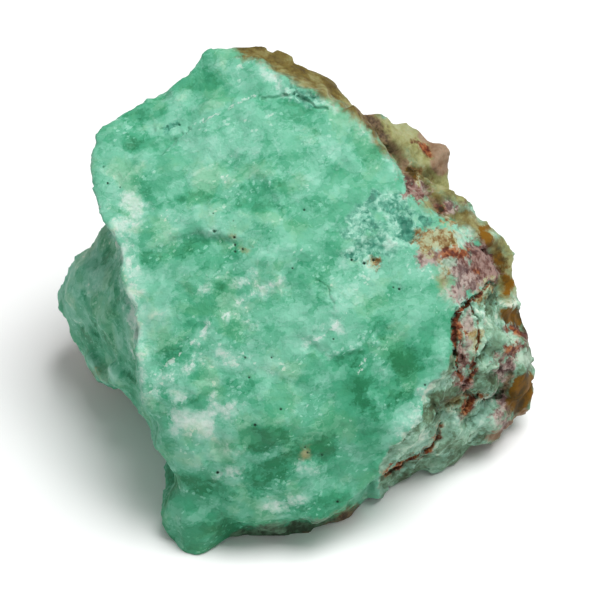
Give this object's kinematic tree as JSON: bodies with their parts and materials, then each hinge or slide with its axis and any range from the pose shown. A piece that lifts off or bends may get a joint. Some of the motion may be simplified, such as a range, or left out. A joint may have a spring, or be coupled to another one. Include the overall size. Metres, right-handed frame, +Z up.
{
  "type": "rough chrysoprase stone",
  "caption": "Rough broken chunk of green chrysoprase with a brown and ochre rind of matrix, resting on its flat underside with its broad fracture face leaning back.",
  "frame": {"origin": "on the ground, under the middle of the stone", "axes": "+Z up, +X to the right across the broad fracture face, -Y towards whoever looks at that face"},
  "size_m": [0.0604, 0.048, 0.0445],
  "materials": {
    "chrysoprase": "unpolished waxy fracture, mottled apple green with white veins, an ochre, rust and brown matrix rind down the right-hand side"
  },
  "bodies": {
    "root": {"rough_stone": "chrysoprase"}
  },
  "joints": []
}
